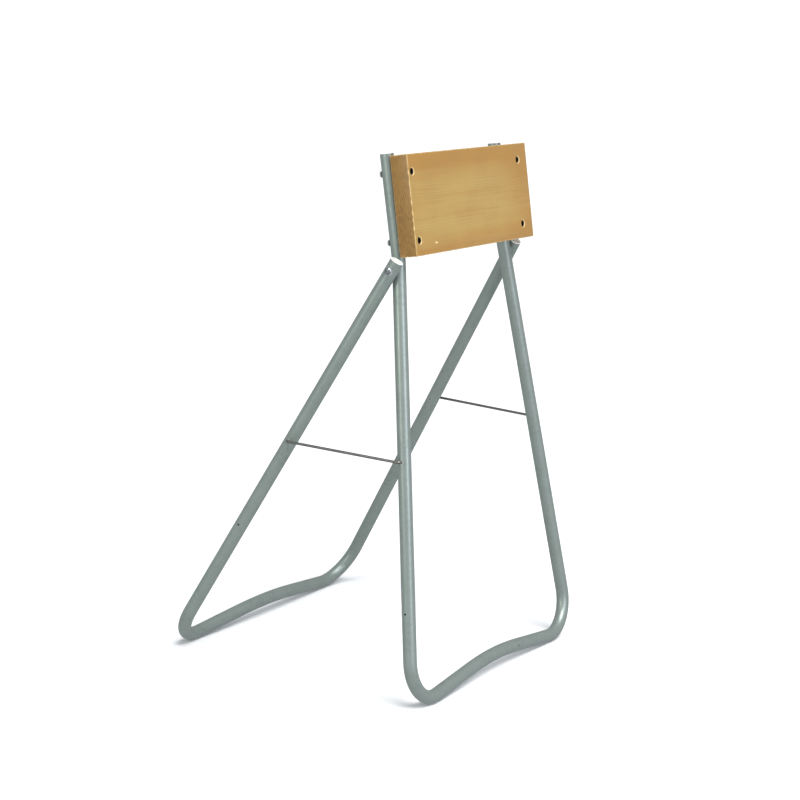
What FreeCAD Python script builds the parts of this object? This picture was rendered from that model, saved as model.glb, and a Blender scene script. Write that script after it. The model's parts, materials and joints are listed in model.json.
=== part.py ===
"""Folding stand for an outboard motor.

Two bent steel tube frames cross at the top on two pivot bolts and are held apart by two bent wire stays.
The front frame's tubes run on above the pivots as posts, and carry a thick wooden board for the motor's
clamps. Each frame stands on the two bends at the ends of its bottom bar, which is bowed up in the middle.

Axes: +X to the right, +Y from the board towards the rear feet, +Z up, origin on the floor under the middle
of the stand. Sizes are in millimetres and degrees.
"""
import FreeCAD, Part
import os
from math import cos, radians, sin, sqrt, tan

# tube frames
tube_od = 25.0
tube_wall = 1.5
foot_bend_radius = 70.0       # tube centreline, at the four feet
bar_bend_radius = 880.0       # tube centreline, middle of both bottom bars
bar_rise_angle = 6.0          # slope of the bottom bars up towards their middle
pivot_height = 772.0          # pivot axis above the floor
front_half_width = 200.5      # stand's middle to a front leg's centreline, at the pivot
front_lean = 11.3             # front frame's plane from the vertical
front_splay = 8.4             # each front leg from the frame's middle line
rear_lean = 26.8
rear_splay = 5.2
rear_stub = 19.5              # rear leg above the pivot, to its cut end
leg_gap = 1.8                 # between the crossing legs at the pivot

# posts that carry the board
post_bend_height = 15.0       # above the pivot, in the frame's plane
post_bend_radius = 100.0
post_flare = 1.1              # each post from the frame's middle line
post_length = 191.5           # above the bend, in the frame's plane

# board
board_width = 452.0
board_height = 182.0
board_thickness = 35.5
board_offset = 12.0           # board's middle to the right of the stand's middle
board_gap_above_bend = 5.3
board_edge_round = 1.5

# board screws: M6 socket cap screws, washers and thin nuts
screw_d = 6.0
screw_hole_d = 6.6
screw_head_d = 10.0
screw_head_height = 6.0
screw_head_chamfer = 0.5
screw_socket_across = 5.0
screw_socket_depth = 3.0
screw_low = 33.0              # above the post bend
screw_high = 156.0
counterbore_d = 13.0
counterbore_depth = 7.0
counterbore_chamfer = 1.2
screw_washer_d = 12.0
screw_washer_thickness = 1.0
screw_nut_across = 10.0
screw_nut_height = 3.2
screw_nut_chamfer = 0.4       # off the hexagon's corners
screw_end = 0.6               # screw's tip beyond its nut

# pivots: M8 button head bolts, nylon washers, and rivet nuts set in the front legs' outer walls
pivot_bolt_d = 8.0
pivot_play = 0.08             # radial, bolt in its holes
pivot_head_d = 14.0
pivot_head_height = 4.4
pivot_socket_across = 5.0
pivot_socket_depth = 2.6
pivot_end_play = 0.3          # under the bolt's head
pivot_washer_d = 13.0
pivot_washer_thickness = 1.0
pivot_washer_bore_play = 0.3  # radial, washer round the bolt
pivot_nut_d = 11.0
pivot_nut_length = 13.0
pivot_nut_collar_d = 13.5     # bulged against the wall's inside
pivot_nut_collar_length = 3.5
pivot_tip_gap = 0.5           # bolt's tip below the nut's inner end

# stays
stay_d = 5.0
stay_bend_radius = 5.0        # rod centreline
stay_height = 439.0           # above the floor, level from leg to leg
stay_standoff = 6.6           # rod's corner outside the leg
stay_rear_play = 0.1          # radial, a running fit
stay_front_play = 0.5         # radial, the end that unhooks
stay_rear_recess = 1.0        # rod's end below the leg's inner face
stay_hook_reach = 9.0         # front hook's tip inside the leg's outer face

# drain holes
drain_hole_d = 4.0
front_leg_drain_depth = 608.0
rear_leg_drain_depth = 567.0
front_bar_drain_x = 80.0
rear_bar_drain_x = -164.5

# end plugs
plug_wall_play = 0.05
post_plug_insert_length = 14.0
leg_plug_bolt_gap = 2.0       # between the leg plug's inner end and the pivot bolt
plug_rim_height = 1.6
plug_rim_chamfer = 1.2
plug_recess_d = 14.0
plug_recess_depth = 0.8

overshoot = 1.0               # how far a cutter runs past the face that it opens

tube_r = tube_od / 2
bore_r = tube_r - tube_wall
X = FreeCAD.Vector(1, 0, 0)
Z = FreeCAD.Vector(0, 0, 1)
SIDES = {"left": -1, "right": 1}


class FramePlane:
    """A frame's own plane, through the pivot axis: `across` along X, `depth` down the plane, `out` off it."""

    def __init__(self, lean, toward, half_width, splay, origin):
        self.down = FreeCAD.Vector(0, toward * sin(radians(lean)), -cos(radians(lean)))
        self.out = FreeCAD.Vector(0, toward * cos(radians(lean)), sin(radians(lean)))
        self.lean = radians(lean)
        self.half_width = half_width
        self.splay = radians(splay)
        self.origin = origin

    def point(self, across, depth, off=0.0):
        return self.origin + X * across + self.down * depth + self.out * off

    def leg_across(self, depth):
        return self.half_width + depth * tan(self.splay)

    def leg_face(self, depth, outer=1):
        """Distance from the stand's middle to the leg's outer or inner face."""
        return self.leg_across(depth) + outer * tube_r / cos(self.splay)

    def corner_depth(self):
        """Depth of the corner of leg and bar that sets the rounded foot on the floor."""
        rise = radians(bar_rise_angle)
        # the foot bend's centre lies one radius from the leg's line and from the bar's line
        rows = (-cos(self.splay), sin(self.splay)), (sin(rise), -cos(rise))
        det = rows[0][0] * rows[1][1] - rows[0][1] * rows[1][0]
        centre_depth = (rows[0][0] - rows[1][0]) / det
        lowest = (pivot_height - tube_r) / cos(self.lean)
        return lowest - foot_bend_radius * (1 + centre_depth)

    def corners(self):
        """Right foot corner, middle of the bar and left foot corner, before rounding."""
        depth = self.corner_depth()
        across = self.leg_across(depth)
        rise = across * tan(radians(bar_rise_angle))
        return self.point(across, depth), self.point(0, depth - rise), self.point(-across, depth)


def rounded_wire(points, radii):
    """Straight runs through the points, with a tangent arc of the given radius at each inner point."""
    edges = []
    start = points[0]
    for before, at, after, radius in zip(points, points[1:], points[2:], radii):
        into = (at - before).normalize()
        away = (after - at).normalize()
        turn = into.getAngle(away)
        tangent = radius * tan(turn / 2)
        first = at - into * tangent
        last = at + away * tangent
        inward = (away - into).normalize()
        middle = at + inward * (radius / cos(turn / 2) - radius)
        edges.append(Part.LineSegment(start, first).toShape())
        edges.append(Part.Arc(first, middle, last).toShape())
        start = last
    edges.append(Part.LineSegment(start, points[-1]).toShape())
    return Part.Wire(edges)


def sweep(points, radii, radius):
    """A round bar along the rounded path."""
    path = rounded_wire(points, radii)
    direction = points[1] - points[0]
    circle = Part.Wire([Part.Circle(points[0], direction, radius).toShape()])
    return path.makePipeShell([circle], True, False)


def cylinder(diameter, start, end):
    return Part.makeCylinder(diameter / 2, (end - start).Length, start, end - start)


def prism(across_flats, start, end):
    """A hexagonal bar from start to end."""
    corner = across_flats / 2 / cos(radians(30))
    corners = [FreeCAD.Vector(corner * cos(radians(60 * i)), corner * sin(radians(60 * i)), 0) for i in range(7)]
    bar = Part.Face(Part.makePolygon(corners)).extrude(FreeCAD.Vector(0, 0, (end - start).Length))
    return placed(bar, start, end - start)


def placed(shape, at, direction):
    """The shape, built up the Z axis from the origin, moved to `at` and turned to `direction`."""
    shape.Placement = FreeCAD.Placement(at, FreeCAD.Rotation(Z, direction))
    return shape


def turned(outline):
    """A solid of revolution about Z from a closed outline of (radius, height) corners."""
    corners = [FreeCAD.Vector(radius, 0, height) for radius, height in outline]
    face = Part.Face(Part.makePolygon(corners + corners[:1]))
    return face.revolve(FreeCAD.Vector(), Z, 360)


def dome(diameter, height):
    """A spherical cap standing on the XY plane."""
    rim = diameter / 2
    ball_r = (rim ** 2 + height ** 2) / (2 * height)
    ball = Part.makeSphere(ball_r, FreeCAD.Vector(0, 0, height - ball_r))
    return ball.common(Part.makeCylinder(rim, height))


def hex_nut(across, height, chamfer, thread_d, seat, direction):
    """A hexagonal nut whose corners are chamfered at both ends."""
    corner = across / 2 / cos(radians(30))
    blank = turned([(0, 0), (corner - chamfer, 0), (corner, chamfer), (corner, height - chamfer),
                    (corner - chamfer, height), (0, height)])
    top = seat + direction * height
    nut = prism(across, seat, top).common(placed(blank, seat, direction))
    return nut.cut(cylinder(thread_d, seat, top))


def washer(outer_d, bore_d, seat, direction, thickness):
    top = seat + direction * thickness
    return cylinder(outer_d, seat, top).cut(cylinder(bore_d, seat, top))


def end_plug(end, direction, insert_length):
    """A plastic plug in a tube's open end, with a rim that covers the wall."""
    rim = turned([(0, 0), (tube_r, 0), (tube_r, plug_rim_height - plug_rim_chamfer),
                  (tube_r - plug_rim_chamfer, plug_rim_height), (0, plug_rim_height)])
    insert = Part.makeCylinder(bore_r - plug_wall_play, insert_length,
                               FreeCAD.Vector(0, 0, -insert_length))
    recess = Part.makeCylinder(plug_recess_d / 2, plug_recess_depth,
                               FreeCAD.Vector(0, 0, plug_rim_height - plug_recess_depth))
    return placed(rim.fuse(insert).cut(recess), end, direction)


# frame planes: the pivot axis lies midway between the front and the rear feet
pivot_y = -(pivot_height - tube_r) * (tan(radians(rear_lean)) - tan(radians(front_lean))) / 2
pivot = FreeCAD.Vector(0, pivot_y, pivot_height)
legs_apart = tube_r / cos(radians(front_splay)) + tube_r / cos(radians(rear_splay)) + leg_gap
front = FramePlane(front_lean, -1, front_half_width, front_splay, pivot)
rear = FramePlane(rear_lean, 1, front_half_width + legs_apart, rear_splay, pivot)
post_half_width = front.leg_across(-post_bend_height)
stay_front_depth = (pivot_height - stay_height) / cos(front.lean)
stay_rear_depth = (pivot_height - stay_height) / cos(rear.lean)


def post_point(side, height, off=0.0):
    """A point on a post's centreline, `height` above its bend, or in front of it by `off`."""
    across = side * (post_half_width + height * tan(radians(post_flare)))
    return front.point(across, -post_bend_height - height, off)


def bar_point(frame, across):
    """A point on the bottom bar's centreline, where it runs straight."""
    corner = frame.corner_depth()
    rise = (frame.leg_across(corner) - abs(across)) * tan(radians(bar_rise_angle))
    return frame.point(across, corner - rise)


def front_path():
    right, middle, left = front.corners()
    points = [post_point(1, post_length), post_point(1, 0), right, middle, left,
              post_point(-1, 0), post_point(-1, post_length)]
    radii = [post_bend_radius, foot_bend_radius, bar_bend_radius, foot_bend_radius, post_bend_radius]
    return points, radii


def rear_path():
    right, middle, left = rear.corners()
    top = rear.leg_across(-rear_stub)
    points = [rear.point(top, -rear_stub), right, middle, left, rear.point(-top, -rear_stub)]
    return points, [foot_bend_radius, bar_bend_radius, foot_bend_radius]


def frame_tube(path):
    points, radii = path
    return sweep(points, radii, tube_r).cut(sweep(points, radii, bore_r))


def side_hole(frame, side, depth, diameter, through=True):
    """A hole along X in a leg: through both walls, or only the outer one."""
    inner = frame.leg_across(depth) if not through else frame.leg_face(depth, -1) - tube_r
    start = frame.point(side * inner, depth)
    return cylinder(diameter, start, frame.point(side * (frame.leg_face(depth) + tube_r), depth))


def front_frame():
    body = frame_tube(front_path())
    for side in SIDES.values():
        body = body.cut(side_hole(front, side, 0, pivot_nut_d, False))
        body = body.cut(side_hole(front, side, stay_front_depth, stay_d + 2 * stay_front_play, False))
        body = body.cut(side_hole(front, side, front_leg_drain_depth, drain_hole_d, False))
        for height in (screw_low, screw_high):
            body = body.cut(cylinder(screw_hole_d, post_point(side, height, -tube_od),
                                     post_point(side, height, tube_od)))
    bar = bar_point(front, front_bar_drain_x)
    return body.cut(cylinder(drain_hole_d, bar, bar + front.out * tube_od))


def rear_frame():
    body = frame_tube(rear_path())
    for side in SIDES.values():
        body = body.cut(side_hole(rear, side, 0, pivot_bolt_d + 2 * pivot_play))
        body = body.cut(side_hole(rear, side, stay_rear_depth, stay_d + 2 * stay_rear_play))
        body = body.cut(side_hole(rear, side, rear_leg_drain_depth, drain_hole_d, False))
    bar = bar_point(rear, rear_bar_drain_x)
    return body.cut(cylinder(drain_hole_d, bar, bar + Z * tube_od))


def motor_board():
    """The board, with its back on the posts, drilled and counterbored for its four screws."""
    board = Part.makeBox(board_width, board_thickness, board_height,
                         FreeCAD.Vector(-board_width / 2, -board_thickness, 0))
    board = board.makeFillet(board_edge_round, board.Edges)
    board.rotate(FreeCAD.Vector(), X, -front_lean)
    board.translate(front.point(board_offset, -post_bend_height - board_gap_above_bend, tube_r))
    face = tube_r + board_thickness
    chamfer = Part.makeCone(counterbore_d / 2, counterbore_d / 2 + counterbore_chamfer, counterbore_chamfer)
    for side in SIDES.values():
        for height in (screw_low, screw_high):
            floor = post_point(side, height, face - counterbore_depth)
            rim = post_point(side, height, face - counterbore_chamfer)
            board = board.cut(cylinder(screw_hole_d, post_point(side, height), floor))
            board = board.cut(cylinder(counterbore_d, floor, post_point(side, height, face + overshoot)))
            board = board.cut(placed(chamfer.copy(), rim, front.out))
    return board


def board_screw(side, height):
    """A socket cap screw from the counterbore's floor, through board and post, into its nut."""
    seat = post_point(side, height, tube_r + board_thickness - counterbore_depth)
    top = seat + front.out * screw_head_height
    tip = post_point(side, height, -tube_r - screw_washer_thickness - screw_nut_height - screw_end)
    rim = screw_head_d / 2 - screw_head_chamfer
    head = placed(turned([(0, 0), (screw_head_d / 2, 0), (screw_head_d / 2, screw_head_height - screw_head_chamfer),
                          (rim, screw_head_height), (0, screw_head_height)]), seat, front.out)
    socket = prism(screw_socket_across, top - front.out * screw_socket_depth, top)
    return head.fuse(cylinder(screw_d, seat, tip)).cut(socket)


def board_washer(side, height):
    seat = post_point(side, height, -tube_r)
    return washer(screw_washer_d, screw_hole_d, seat, front.out * -1, screw_washer_thickness)


def board_nut(side, height):
    seat = post_point(side, height, -tube_r - screw_washer_thickness)
    return hex_nut(screw_nut_across, screw_nut_height, screw_nut_chamfer, screw_d, seat, front.out * -1)


def slope_room(frame, diameter):
    """How far a flat round face stands off the middle of a sloping leg."""
    return diameter / 2 * tan(frame.splay)


pivot_nut_end = front.leg_face(0) - slope_room(front, pivot_nut_d)
pivot_nut_tip = pivot_nut_end - pivot_nut_length
# the collar starts where its whole rim is below the round tube's outside
curve_drop = tube_r - sqrt(tube_r ** 2 - (pivot_nut_collar_d / 2) ** 2)
pivot_nut_collar_start = front.leg_face(0) - slope_room(front, pivot_nut_collar_d) - curve_drop


def pivot_bolt(side):
    """A button head bolt from outside the rear leg, through it and into the front leg's rivet nut."""
    seat = rear.leg_face(0) + slope_room(rear, pivot_head_d) + pivot_end_play
    out = X * side
    start = pivot + out * seat
    tip = pivot + out * (pivot_nut_tip + pivot_tip_gap)
    socket_floor = start + out * (pivot_head_height - pivot_socket_depth)
    head = placed(dome(pivot_head_d, pivot_head_height), start, out)
    socket = prism(pivot_socket_across, socket_floor, start + out * pivot_head_height)
    return head.fuse(cylinder(pivot_bolt_d, start, tip)).cut(socket)


def pivot_washer(side):
    """A nylon washer that lies flat on the front leg, between the crossing legs."""
    out = FreeCAD.Vector(side * cos(front.splay), 0, 0) - front.down * sin(front.splay)
    seat = front.point(side * front.leg_face(0), 0)
    bore_d = pivot_bolt_d + 2 * pivot_washer_bore_play
    return washer(pivot_washer_d, bore_d, seat, out, pivot_washer_thickness)


def pivot_nut(side, frame_body):
    """A rivet nut through the front leg's outer wall, flush with it outside, its collar bulged against the inside."""
    out = X * side
    end = pivot + out * pivot_nut_end
    tip = pivot + out * pivot_nut_tip
    collar_top = pivot + out * pivot_nut_collar_start
    collar = cylinder(pivot_nut_collar_d, collar_top, collar_top - out * pivot_nut_collar_length)
    body = cylinder(pivot_nut_d, end, tip).fuse(collar.cut(frame_body))
    return body.cut(cylinder(pivot_bolt_d, end, tip)).removeSplitter()


def stay(side):
    """A rod with both ends bent in through the legs' outer faces."""
    rear_face = rear.leg_face(stay_rear_depth)
    front_face = front.leg_face(stay_front_depth)
    rear_tip = rear.leg_face(stay_rear_depth, -1) + stay_rear_recess
    points = [
        rear.point(side * rear_tip, stay_rear_depth),
        rear.point(side * (rear_face + stay_standoff), stay_rear_depth),
        front.point(side * (front_face + stay_standoff), stay_front_depth),
        front.point(side * (front_face - stay_hook_reach), stay_front_depth),
    ]
    return sweep(points, [stay_bend_radius, stay_bend_radius], stay_d / 2)


def post_plug(side):
    top = post_point(side, post_length)
    return end_plug(top, top - post_point(side, 0), post_plug_insert_length)


def leg_plug(side):
    top = rear.point(side * rear.leg_across(-rear_stub), -rear_stub)
    insert_length = rear_stub - pivot_bolt_d / 2 - leg_plug_bolt_gap
    return end_plug(top, top - rear.point(side * rear.leg_across(0), 0), insert_length)


os.makedirs("parts", exist_ok=True)
nodes = {"front_frame": front_frame(), "rear_frame": rear_frame(), "motor_board": motor_board()}
for name, side in SIDES.items():
    for level, height in (("lower", screw_low), ("upper", screw_high)):
        nodes[f"board_screw_{level}_{name}"] = board_screw(side, height)
        nodes[f"board_washer_{level}_{name}"] = board_washer(side, height)
        nodes[f"board_nut_{level}_{name}"] = board_nut(side, height)
    nodes[f"pivot_bolt_{name}"] = pivot_bolt(side)
    nodes[f"pivot_washer_{name}"] = pivot_washer(side)
    nodes[f"pivot_nut_{name}"] = pivot_nut(side, nodes["front_frame"])
    nodes[f"stay_{name}"] = stay(side)
    nodes[f"post_plug_{name}"] = post_plug(side)
    nodes[f"leg_plug_{name}"] = leg_plug(side)
for name, shape in nodes.items():
    shape.exportStep(f"parts/{name}.step")
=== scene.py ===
"""The looks of a folding stand for an outboard motor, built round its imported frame.

Two galvanised tube frames cross on two pivot bolts, wire stays hold them apart, and a varnished beech board
across the top takes the motor's clamps. Lengths are in metres, and angles in radians unless a docstring says
degrees.
"""

import json
from math import acos, atan2, cos, pi, radians, sin, tan

import bmesh
import bpy
from mathutils import Matrix, Vector


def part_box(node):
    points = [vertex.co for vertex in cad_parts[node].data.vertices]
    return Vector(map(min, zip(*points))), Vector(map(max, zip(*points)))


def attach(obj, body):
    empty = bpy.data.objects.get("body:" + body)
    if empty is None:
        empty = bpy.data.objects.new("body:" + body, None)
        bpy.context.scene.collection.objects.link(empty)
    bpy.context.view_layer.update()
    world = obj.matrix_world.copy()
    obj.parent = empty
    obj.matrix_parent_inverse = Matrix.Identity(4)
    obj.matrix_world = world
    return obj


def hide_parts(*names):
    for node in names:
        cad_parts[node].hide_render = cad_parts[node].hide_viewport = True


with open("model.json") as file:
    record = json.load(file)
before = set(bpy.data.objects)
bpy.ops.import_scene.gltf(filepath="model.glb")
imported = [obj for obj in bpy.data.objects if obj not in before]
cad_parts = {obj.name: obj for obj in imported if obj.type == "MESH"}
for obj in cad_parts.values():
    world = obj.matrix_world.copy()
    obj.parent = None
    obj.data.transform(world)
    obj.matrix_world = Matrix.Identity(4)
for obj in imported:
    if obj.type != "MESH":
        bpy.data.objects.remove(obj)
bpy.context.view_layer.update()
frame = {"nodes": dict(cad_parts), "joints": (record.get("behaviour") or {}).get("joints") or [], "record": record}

bl_info = {
    "name": "Outboard motor stand",
    "version": (1, 0, 0),
    "blender": (4, 5, 0),
    "location": "View3D > Sidebar > Motor stand",
    "description": "Builds the visible pieces of a folding outboard motor stand round its frame",
    "category": "Add Mesh",
}

SIDES = {"left": -1, "right": 1}
LEVELS = ("lower", "upper")
X = Vector((1, 0, 0))
Z = Vector((0, 0, 1))
MM = 0.001
TUBE_SIDES = 48
ROUND_SIDES = 64
HOLE_SIDES = 32
ROD_SIDES = 32
HEXAGON = 6
MIX_FACTOR, MIX_A, MIX_B, MIX_RESULT = 0, 6, 7, 2     # a colour Mix node's sockets

joints = {joint["name"]: joint for joint in frame["joints"]}
mounts = {mount["name"]: mount for mount in frame["record"]["mounts"]}
pivot = Vector(joints["fold"]["pos_m"])
stay_axis = Vector(joints["stay_left_swing"]["pos_m"])
board_out = Vector(mounts["board_front"]["axis"]).normalized()
board_up = Vector(mounts["board_top"]["axis"]).normalized()


def linear(code):
    """An sRGB hex colour as linear red, green, blue and alpha."""
    shares = [int(code[i:i + 2], 16) / 255 for i in (1, 3, 5)]
    return [s / 12.92 if s <= 0.04045 else ((s + 0.055) / 1.055) ** 2.4 for s in shares] + [1.0]


def middle(node):
    """The middle of a frame node's box."""
    low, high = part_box(node)
    return (low + high) / 2


def outer_x(node, side):
    """The X of a node's end on the side (-1 or 1) asked for."""
    low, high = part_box(node)
    return max(low.x, high.x, key=lambda x: side * x)


def length(name, default, text):
    """A length that can be set in the sidebar."""
    return bpy.props.FloatProperty(name=name, description=text, default=default, unit="LENGTH", precision=5)


def angle(name, degrees, text):
    """An angle that can be set in the sidebar, given in degrees."""
    return bpy.props.FloatProperty(name=name, description=text, default=radians(degrees), unit="ROTATION")


def colour(name, code, text):
    """A colour that can be set in the sidebar, given as an sRGB hex value."""
    return bpy.props.FloatVectorProperty(name=name, description=text, default=linear(code), size=4,
                                         subtype="COLOR", min=0, max=1)


class StandTubes(bpy.types.PropertyGroup):
    """Sizes of the two tube frames and the stays."""
    tube_d: length("Tube", 25 * MM, "Outside diameter of the frame tube")
    wall: length("Wall", 1.5 * MM, "Wall of the frame tube")
    foot_bend: length("Foot bend", 70 * MM, "Centreline radius of the four foot bends")
    bar_bend: length("Bar bend", 880 * MM, "Centreline radius of the bow in both bottom bars")
    bar_rise: angle("Bar rise", 6.0, "Slope of a bottom bar up to its middle")
    half_width: length("Half width", 200.5 * MM, "Stand's middle to a front leg at the pivot")
    front_splay: angle("Front splay", 8.4, "Each front leg from the frame's middle line")
    rear_splay: angle("Rear splay", 5.2, "Each rear leg from the frame's middle line")
    rear_stub: length("Rear stub", 19.5 * MM, "Rear leg above the pivot")
    leg_gap: length("Leg gap", 1.8 * MM, "Between the crossing legs at the pivot")
    post_bend_height: length("Post bend height", 15 * MM, "Post bend above the pivot")
    post_bend: length("Post bend", 100 * MM, "Centreline radius of the bend under a post")
    post_flare: angle("Post flare", 1.1, "Each post from the frame's middle line")
    post_length: length("Post", 191.5 * MM, "Post above its bend")
    stay_d: length("Stay", 5 * MM, "Diameter of the stay rod")
    stay_bend: length("Stay bend", 5 * MM, "Centreline radius of the stay's bent ends")
    stay_standoff: length("Stay standoff", 6.6 * MM, "Rod's corner outside the leg")
    stay_recess: length("Stay recess", 1.0 * MM, "Rod's end below the rear leg's inner face")
    stay_reach: length("Stay reach", 9.0 * MM, "Front hook's tip inside the leg's outer face")
    front_stay_hole: length("Front stay hole", 6.0 * MM, "Hole that the stay hooks into")
    rear_stay_hole: length("Rear stay hole", 5.2 * MM, "Hole that the stay turns in")
    drain_hole: length("Drain hole", 4.0 * MM, "Drain and vent holes")
    front_drain: length("Front drain", 608 * MM, "Front leg's drain hole below the pivot")
    rear_drain: length("Rear drain", 567 * MM, "Rear leg's drain hole below the pivot")
    front_bar_drain: length("Front bar drain", 80 * MM, "X of the front bar's drain hole")
    rear_bar_drain: length("Rear bar drain", -164.5 * MM, "X of the rear bar's drain hole")


class StandFixings(bpy.types.PropertyGroup):
    """Sizes of the screws, nuts, washers, pivots, plugs and the board's machining."""
    arris: length("Arris", 1.6 * MM, "Rounding of the board's edges")
    screw_d: length("Screw", 6 * MM, "Board screw's thread")
    screw_hole: length("Screw hole", 6.6 * MM, "Hole for a board screw")
    head_d: length("Head", 10 * MM, "Board screw's head")
    head_height: length("Head height", 6 * MM, "Height of the screw's head")
    socket: length("Socket", 5 * MM, "Hexagon socket across its flats")
    socket_depth: length("Socket depth", 3 * MM, "Depth of the hexagon socket")
    counterbore_d: length("Counterbore", 13 * MM, "Counterbore round a screw's head")
    counterbore_depth: length("Counterbore depth", 7 * MM, "Depth of the counterbore")
    counterbore_edge: length("Counterbore edge", 1.2 * MM, "Chamfer at the counterbore's mouth")
    washer_d: length("Washer", 12 * MM, "Board washer's outside diameter")
    washer_t: length("Washer thickness", 1.0 * MM, "Board washer's thickness")
    nut_across: length("Nut", 10 * MM, "Board nut across its flats")
    nut_height: length("Nut height", 3.2 * MM, "Height of the thin board nut")
    nut_chamfer: length("Nut chamfer", 0.4 * MM, "Chamfer of the board nut's corners")
    screw_end: length("Screw end", 0.6 * MM, "Screw's tip beyond its nut")
    bolt_d: length("Pivot bolt", 8 * MM, "Pivot bolt's shank")
    bolt_hole: length("Pivot hole", 8.16 * MM, "Hole for the pivot bolt")
    bolt_head_d: length("Bolt head", 14 * MM, "Pivot bolt's button head")
    bolt_head: length("Bolt head height", 4.4 * MM, "Height of the button head")
    bolt_socket: length("Bolt socket", 5 * MM, "Button head's socket across its flats")
    bolt_socket_depth: length("Bolt socket depth", 2.6 * MM, "Depth of that socket")
    pivot_washer_d: length("Pivot washer", 13 * MM, "Nylon washer between the legs")
    pivot_washer_bore: length("Pivot washer bore", 8.6 * MM, "Bore of the nylon washer")
    pivot_washer_t: length("Pivot washer thickness", 1.0 * MM, "Thickness of the nylon washer")
    pivot_nut_d: length("Rivet nut", 11 * MM, "Diameter of the pivot's rivet nut")
    pivot_tip_gap: length("Bolt end gap", 0.5 * MM, "Bolt's tip below the rivet nut's inner end")
    plug_rim: length("Plug rim", 1.6 * MM, "Height of an end plug's rim")
    plug_round: length("Plug rounding", 1.2 * MM, "Rounding of the rim's edge")
    post_insert: length("Post insert", 14 * MM, "Post plug inside the tube")
    leg_insert: length("Leg insert", 13.5 * MM, "Leg plug inside the tube")


class StandColours(bpy.types.PropertyGroup):
    """Colours of the finishes."""
    zinc: colour("Galvanised", "#8D9791", "Weathered hot dip zinc on the frame tubes")
    zinc_dark: colour("Galvanised, dull", "#828C86", "Duller spangles in the zinc")
    bare: colour("Bare metal", "#C9CDCB", "Zinc rubbed bright round the holes")
    beech_light: colour("Beech, early wood", "#A88B4C", "Wood between the growth lines")
    beech_dark: colour("Beech, late wood", "#8C6834", "The growth lines")
    beech_red: colour("Beech, heart", "#9E7535", "The warmer wood towards the board's edges")
    beech_fleck: colour("Beech, flecks", "#7E5527", "Short dark flecks along the grain")
    beech_end: colour("Beech, end grain", "#845E22", "The darker ends of the board")
    end_light: colour("End grain, light", "#926D2C", "Light streaks in the end grain")
    end_dark: colour("End grain, dark", "#5E3E14", "Dark streaks in the end grain")
    # raw also paints the highlight along the board's arrises, its counterbore mouths and one dent
    raw: colour("Beech, raw", "#E2C893", "Wood with its varnish rubbed off")
    plate: colour("Zinc plate", "#B4B8B8", "Bright zinc plate on washers, bolts and nuts")
    wire: colour("Drawn wire", "#8F8C87", "Thin zinc plate on the drawn wire of the stays")
    oxide: colour("Black oxide", "#1C1B1B", "Oiled black oxide on the board screws")
    plastic: colour("Polyethylene", "#E4E4E0", "The white end plugs and pivot washers")
    dust: colour("Dust", "#C9C6BC", "Workshop dust on the white plastic")
    floor: colour("Floor", "#FAFAFA", "The studio's floor")


# ---------------------------------------------------------------- geometry of the frames

class Plane:
    """A frame's own plane through the pivot axis: `across` along X, `depth` down it, `off` out of it."""

    def __init__(self, lean, toward, half_width, splay):
        self.down = Vector((0, toward * sin(lean), -cos(lean)))
        self.out = Vector((0, toward * cos(lean), sin(lean)))
        self.lean, self.half_width, self.splay = lean, half_width, splay

    def point(self, across, depth, off=0.0):
        return pivot + X * across + self.down * depth + self.out * off

    def leg_across(self, depth):
        return self.half_width + depth * tan(self.splay)

    def leg_face(self, depth, outer=1):
        return self.leg_across(depth) + outer * tubes().tube_d / 2 / cos(self.splay)

    def corner_depth(self):
        """Depth of the unrounded corner whose foot bend stands on the floor."""
        rise = tubes().bar_rise
        leg, bar = Vector((-cos(self.splay), sin(self.splay))), Vector((sin(rise), -cos(rise)))
        centre_depth = (leg.x - bar.x) / (leg.x * bar.y - leg.y * bar.x)
        lowest = (pivot.z - tubes().tube_d / 2) / cos(self.lean)
        return lowest - tubes().foot_bend * (1 + centre_depth)

    def bar_depth(self, across):
        """Depth of the bottom bar's centreline where it runs straight."""
        corner = self.corner_depth()
        return corner - (self.leg_across(corner) - abs(across)) * tan(tubes().bar_rise)

    def bar_corners(self):
        corner = self.corner_depth()
        across = self.leg_across(corner)
        return [self.point(across, corner), self.point(0, self.bar_depth(0)), self.point(-across, corner)]


def tubes():
    return bpy.context.scene.stand_tubes


def fixings():
    return bpy.context.scene.stand_fixings


def colours():
    return bpy.context.scene.stand_colours


def front_plane():
    return Plane(atan2(board_out.z, -board_out.y), -1, tubes().half_width, tubes().front_splay)


def rear_plane():
    size = tubes()
    beside = size.tube_d / 2 * (1 / cos(size.front_splay) + 1 / cos(size.rear_splay)) + size.leg_gap
    lean = atan2(stay_axis.y - pivot.y, pivot.z - stay_axis.z)
    return Plane(lean, 1, size.half_width + beside, size.rear_splay)


def post_point(side, height):
    """A point on a post's centreline, above its bend."""
    size, plane = tubes(), front_plane()
    across = plane.leg_across(-size.post_bend_height) + height * tan(size.post_flare)
    return plane.point(side * across, -size.post_bend_height - height)


# ---------------------------------------------------------------- mesh tools

def facing(at, direction):
    """A matrix that takes the Z axis to `direction` and the origin to `at`."""
    return Matrix.Translation(at) @ direction.to_track_quat("Z", "Y").to_matrix().to_4x4()


def tidy(bm):
    """Merges doubles, closes seams and turns every face outwards."""
    touching = 0.0001 * MM
    bmesh.ops.remove_doubles(bm, verts=bm.verts, dist=touching)
    bmesh.ops.dissolve_degenerate(bm, dist=touching, edges=bm.edges)
    bmesh.ops.recalc_face_normals(bm, faces=bm.faces)
    return bm


def as_object(name, bm):
    mesh = bpy.data.meshes.new(name)
    bm.to_mesh(mesh)
    bm.free()
    made = bpy.data.objects.new(name, mesh)
    bpy.context.scene.collection.objects.link(made)
    return made


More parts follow.
